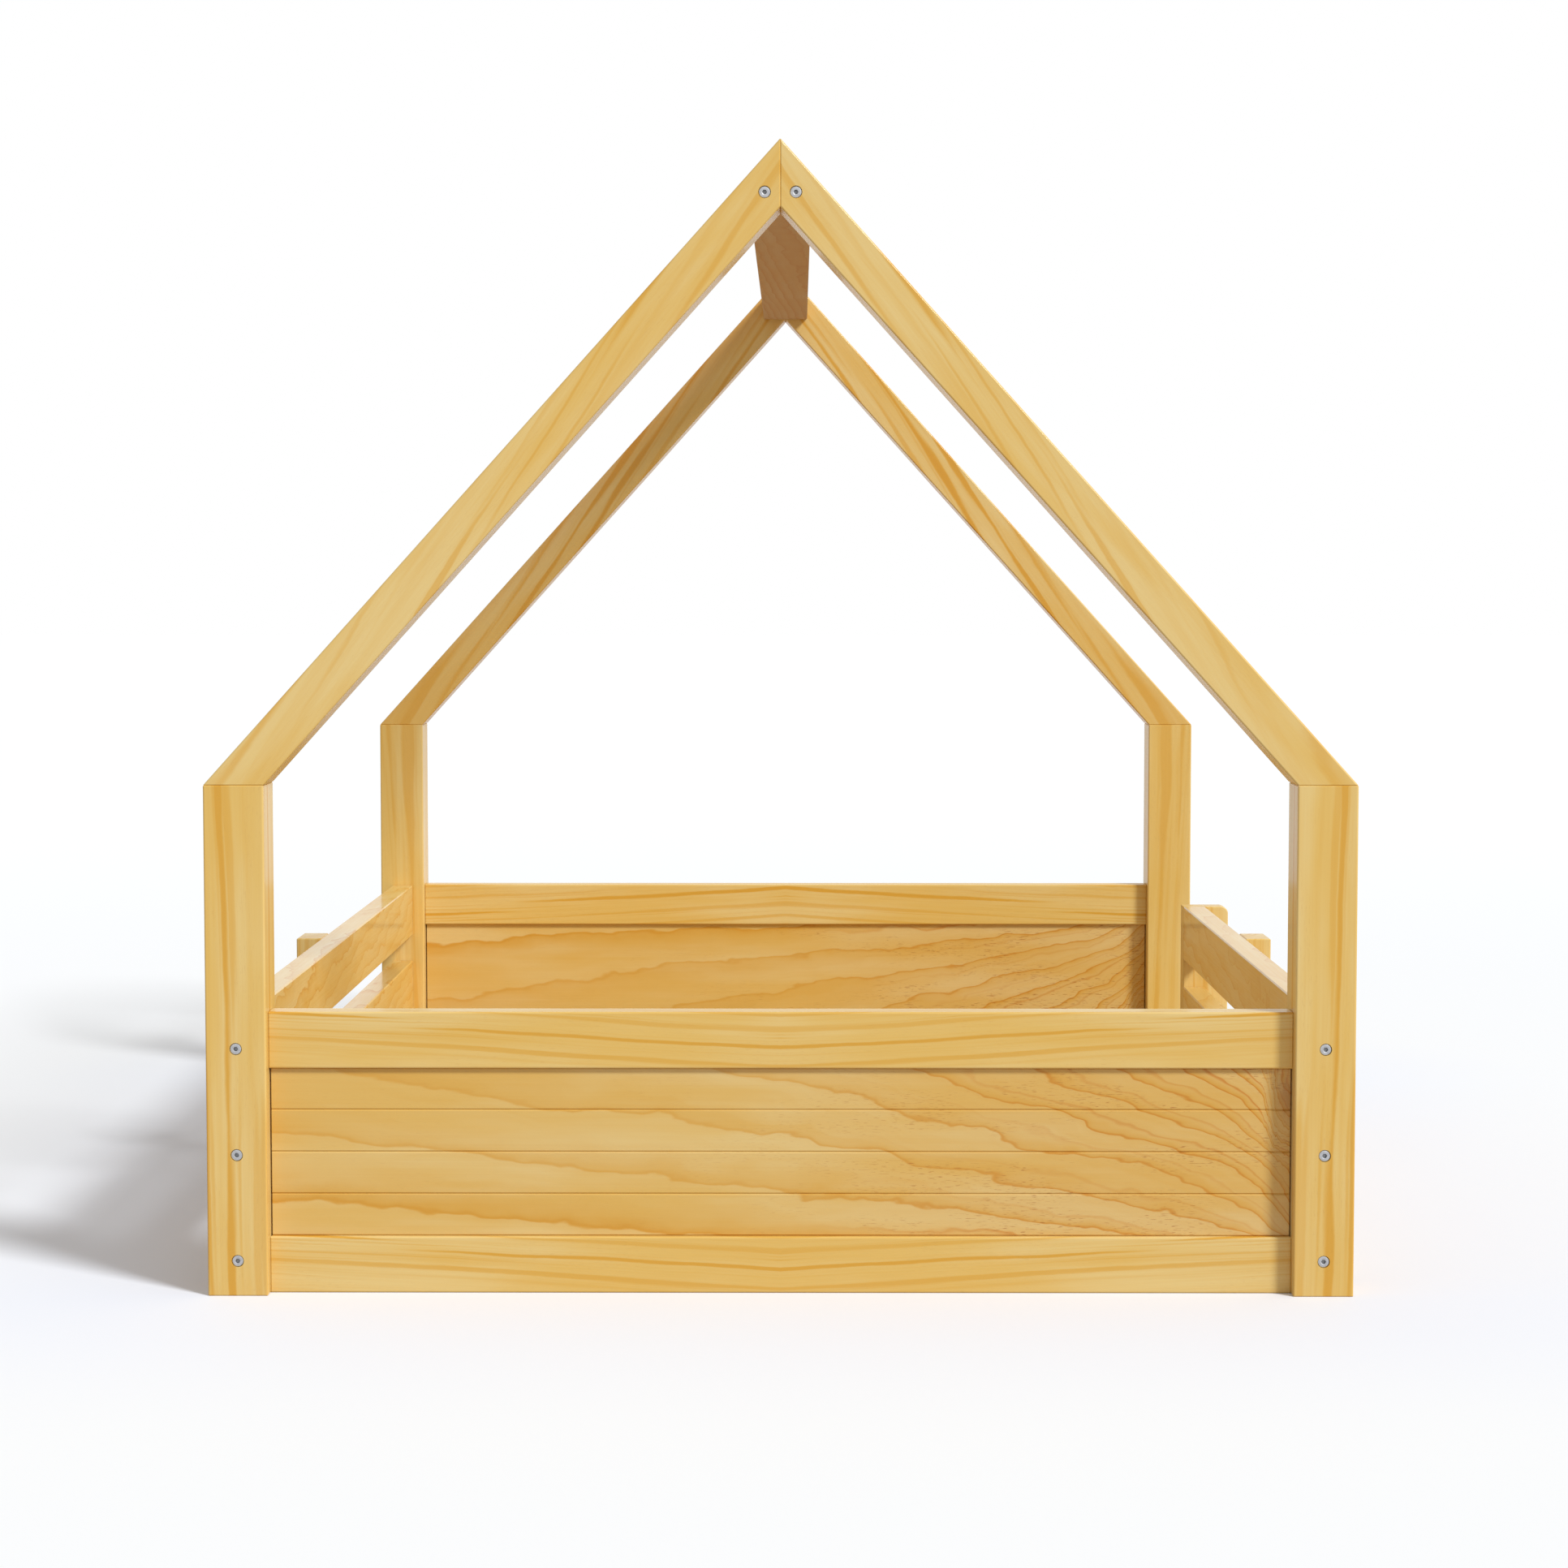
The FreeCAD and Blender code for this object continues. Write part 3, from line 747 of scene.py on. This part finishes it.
def turned(mesh, rings, base, direction, dark_from=None):
    """Skin between rings (height, radius, sides) stacked on an axis.

    The radius of a ring with sides is that of its corners. From the ring dark_from on, the
    faces take the second material.
    """
    turn = direction.to_track_quat("Z", "Y")
    loops = []
    for height, radius, sides in rings:
        loop = []
        for step in range(ROUND_STEPS):
            angle = 2 * math.pi * step / ROUND_STEPS
            reach = radius
            if sides != ROUND:
                half = math.pi / sides
                reach *= math.cos(half) / math.cos(angle % (2 * half) - half)
            place = Vector((reach * math.cos(angle), reach * math.sin(angle), height))
            loop.append(mesh.verts.new(base + turn @ place))
        loops.append(loop)
    for place, (lower, upper) in enumerate(zip(loops, loops[1:])):
        for step in range(ROUND_STEPS):
            after = (step + 1) % ROUND_STEPS
            face = mesh.faces.new((lower[step], lower[after], upper[after], upper[step]))
            face.smooth = True
            face.material_index = int(dark_from is not None and place >= dark_from)
    mesh.faces.new(list(reversed(loops[0])))
    mesh.faces.new(loops[-1]).material_index = int(dark_from is not None)


def new_object(name, data):
    made = bpy.data.objects.new(name, data)
    bpy.context.scene.collection.objects.link(made)
    return made


def new_piece(name, mesh, materials, slot, *replaced):
    """A piece of the part from a bmesh, in place of the nodes that it replaces."""
    bmesh.ops.recalc_face_normals(mesh, faces=mesh.faces)
    data = bpy.data.meshes.new(name)
    for material in materials:
        data.materials.append(material)
    mesh.to_mesh(data)
    mesh.free()
    piece = new_object(name, data)
    piece.modifiers.new("crisp", "EDGE_SPLIT").split_angle = CRISP_ANGLE
    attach(piece, "root")
    if replaced:
        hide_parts(*replaced)
    return piece


def bolt_rings(length):
    """The outline of a bolt, from its tip to the bottom of its socket."""
    seat = length - HEAD_HEIGHT
    rings = [(0.0, SHANK_RADIUS * SHANK_TIP_SHARE, ROUND), (SHANK_CHAMFER, SHANK_RADIUS, ROUND),
             (seat, SHANK_RADIUS, ROUND)]
    rings += [(seat + HEAD_HEIGHT * height, HEAD_RADIUS * share, ROUND)
              for height, share in HEAD_OUTLINE]
    rings += [(length, SOCKET_MOUTH_RADIUS, ROUND),
              (length - SOCKET_CHAMFER, SOCKET_CORNER_RADIUS, HEXAGON),
              (length - SOCKET_DEPTH, SOCKET_CORNER_RADIUS * SOCKET_TAPER, HEXAGON)]
    return rings


def add_bolts():
    """Button heads with a domed top and a chamfered hexagon socket painted darker as shade, on a
    plain shank.
    """
    for name in ("side_rail_bolts", "guard_post_bolts", "leg_bolts", "ridge_bolts"):
        mesh = bmesh.new()
        for points in loose_parts(name):
            head, tip = [end for end, radius in sorted(long_axis(points),
                                                       key=lambda item: -item[1])]
            rings = bolt_rings((head - tip).length)
            # The socket walls and bottom take the darker metal: painted shade.
            turned(mesh, rings, tip, (head - tip).normalized(), dark_from=len(rings) - 2)
        new_piece(name + "_detail", mesh, (ZINC, SOCKET_PAINTED_SHADE), "zinc_plated_steel", name)


def nut_ends(name):
    """The end of each nut that shows, and its other end."""
    pairs = []
    for points in loose_parts(name):
        ends = [end for end, radius in long_axis(points)]
        ends.sort(key=lambda end: abs(end.x) if name.startswith("side") else end.z)
        pairs.append((ends[1], ends[0]))
    return pairs


def add_barrel_nuts():
    """Dowels with chamfered ends and a screwdriver slot at the end that shows."""
    for name in ("side_rail_barrel_nuts", "ridge_barrel_nuts"):
        mesh = bmesh.new()
        for shown, hidden in nut_ends(name):
            length = (shown - hidden).length
            turned(mesh, [(0.0, NUT_RADIUS - NUT_CHAMFER, ROUND),
                          (NUT_CHAMFER, NUT_RADIUS, ROUND),
                          (length - NUT_CHAMFER, NUT_RADIUS, ROUND),
                          (length, NUT_RADIUS - NUT_CHAMFER, ROUND)],
                   hidden, (shown - hidden).normalized())
        piece = new_piece(name + "_detail", mesh, (ALLOY,), "zinc_alloy", name)
        cut_slots(piece, name)


def cut_slots(piece, name):
    """Boolean away one screwdriver slot in the shown end of each nut."""
    mesh = bmesh.new()
    size = Matrix.Diagonal((NUT_RADIUS * 3, NUT_SLOT_WIDTH, NUT_SLOT_DEPTH * 2, 1))
    for shown, hidden in nut_ends(name):
        outward = (shown - hidden).normalized()
        turn = outward.to_track_quat("Z", "Y").to_matrix().to_4x4()
        bmesh.ops.create_cube(mesh, size=1.0, matrix=Matrix.Translation(shown) @ turn @ size)
    data = bpy.data.meshes.new("slot_cutter")
    mesh.to_mesh(data)
    mesh.free()
    cutter = new_object("slot_cutter", data)
    cut = piece.modifiers.new("slots", "BOOLEAN")
    cut.operation = "DIFFERENCE"
    cut.solver = "EXACT"
    cut.object = cutter
    apply_modifiers(piece)
    bpy.data.objects.remove(cutter)


def apply_modifiers(piece):
    """Bake the modifier stack into the mesh."""
    depsgraph = bpy.context.evaluated_depsgraph_get()
    baked = bpy.data.meshes.new_from_object(piece.evaluated_get(depsgraph))
    piece.modifiers.clear()
    piece.data = baked


def screw_places():
    """(place, outward) of each screw: five in each slat, and a row in each ledger."""
    places = []
    for index in SLATS:
        low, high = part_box("slat_%02d" % index)
        y = (low.y + high.y) / 2
        for x in (low.x + SLAT_SCREW_INSET, high.x - SLAT_SCREW_INSET):
            for spread in (-SLAT_SCREW_SPREAD, SLAT_SCREW_SPREAD):
                places.append((Vector((x, y + spread, high.z)), AXES["z"]))
        places.append((Vector((0, y, high.z)), AXES["z"]))
    for side, sign in SIDES.items():
        low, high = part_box(side + "_slat_ledger")
        face = high.x if sign < 0 else low.x
        for step in range(LEDGER_SCREW_COUNT):
            y = low.y + (step + 0.5) * (high.y - low.y) / LEDGER_SCREW_COUNT
            places.append((Vector((face, y, (low.z + high.z) / 2)), AXES["x"] * -sign))
    return places


def add_screws():
    """Countersunk heads with a square recess, a hair proud of the wood."""
    mesh = bmesh.new()
    face = SCREW_DEPTH + SCREW_PROUD
    rings = [(SCREW_DEPTH * height, SCREW_RADIUS * share, ROUND) for height, share in SCREW_CONE]
    rings += [(face, SCREW_RADIUS, ROUND), (face, RECESS_CORNER_RADIUS, SQUARE),
              (face - SCREW_DEPTH * RECESS_DEPTH_SHARE, RECESS_CORNER_RADIUS * RECESS_TAPER,
               SQUARE)]
    for place, outward in screw_places():
        turned(mesh, rings, place - outward * SCREW_DEPTH, outward)
    new_piece("slat_screws", mesh, (ZINC,), "zinc_plated_steel")


def dress_metal():
    add_bolts()
    add_barrel_nuts()
    add_screws()
    set_material(nodes["leg_inserts"], ALLOY)


# ------------------------------------------------------------------ studio

def add_camera():
    data = bpy.data.cameras.new("camera")
    data.lens = CAMERA_LENS
    data.sensor_width = CAMERA_SENSOR
    camera = new_object("camera", data)
    camera.location = CAMERA_PLACE
    camera.rotation_euler = (math.pi / 2 - CAMERA_TILT_DOWN, 0, CAMERA_TURN_LEFT)
    bpy.context.scene.camera = camera


def add_sun():
    data = bpy.data.lights.new("sun", "SUN")
    data.energy = SUN_STRENGTH
    data.angle = SUN_WIDTH
    data.color = SUN_COLOUR
    lamp = new_object("sun", data)
    towards = Vector((math.sin(SUN_FROM_RIGHT) * math.cos(SUN_HEIGHT),
                      -math.cos(SUN_FROM_RIGHT) * math.cos(SUN_HEIGHT), math.sin(SUN_HEIGHT)))
    lamp.rotation_mode = "QUATERNION"
    lamp.rotation_quaternion = towards.to_track_quat("Z", "Y")


def add_sky():
    """Plain sky for light. The camera and reflections see it white."""
    world = bpy.data.worlds.new("studio")
    bpy.context.scene.world = world
    world.use_nodes = True
    world.node_tree.nodes.clear()
    graph = Graph(world.node_tree)
    path = graph.add("ShaderNodeLightPath").outputs
    seen = graph.math("MAXIMUM", path["Is Camera Ray"], path["Is Glossy Ray"])
    seen = graph.math("MAXIMUM", seen, path["Is Transmission Ray"])
    strength = graph.times_plus(seen, 1.0 - SKY_STRENGTH, SKY_STRENGTH)
    graph.show(graph.add("ShaderNodeBackground", Color=(1, 1, 1, 1), Strength=strength),
               "ShaderNodeOutputWorld")


def floor_material():
    """Pale paint that whitens as it recedes, painted cooler near the bed against the warm light
    bounced from it. The wood sees it darker than the camera does.
    """
    material, graph = new_material("floor_paint")
    place = graph.where()
    tone = graph.span(graph.vector_math("LENGTH", place), *FLOOR_FADE, FLOOR_NEAR, FLOOR_FAR)
    corner = (cad_box[1].x, cad_box[1].y, 0)
    past = graph.vector_math("SUBTRACT", graph.vector_math("ABSOLUTE", place), corner)
    gap = graph.vector_math("LENGTH", graph.vector_math("MAXIMUM", past, (0, 0, 0)))
    # Painted light: a cool tint near the bed cancels the warm light bounced onto the floor.
    near = graph.span(gap, 0.0, FLOOR_TINT_AGAINST_BOUNCE_REACH, 1.0, 0.0)
    paint = graph.mix(near, graph.combine(tone, tone, tone), FLOOR_TINT_AGAINST_BOUNCE)
    path = graph.add("ShaderNodeLightPath").outputs
    seen = graph.math("MAXIMUM", path["Is Camera Ray"], path["Is Glossy Ray"])
    graph.show(graph.add("ShaderNodeBsdfDiffuse", Color=graph.mix(seen, FLOOR_BOUNCE, paint)))
    return material


def add_floor():
    mesh = bpy.data.meshes.new("floor")
    corners = [(-FLOOR_REACH, -FLOOR_REACH, 0), (FLOOR_REACH, -FLOOR_REACH, 0),
               (FLOOR_REACH, FLOOR_REACH, 0), (-FLOOR_REACH, FLOOR_REACH, 0)]
    mesh.from_pydata(corners, [], [(0, 1, 2, 3)])
    floor = new_object("floor", mesh)
    set_material(floor, floor_material())


dress_posts()
dress_rafters()
dress_rails()
dress_panels()
dress_base()
dress_metal()
add_camera()
add_sun()
add_sky()
add_floor()
bpy.context.scene.view_settings.view_transform = "Standard"
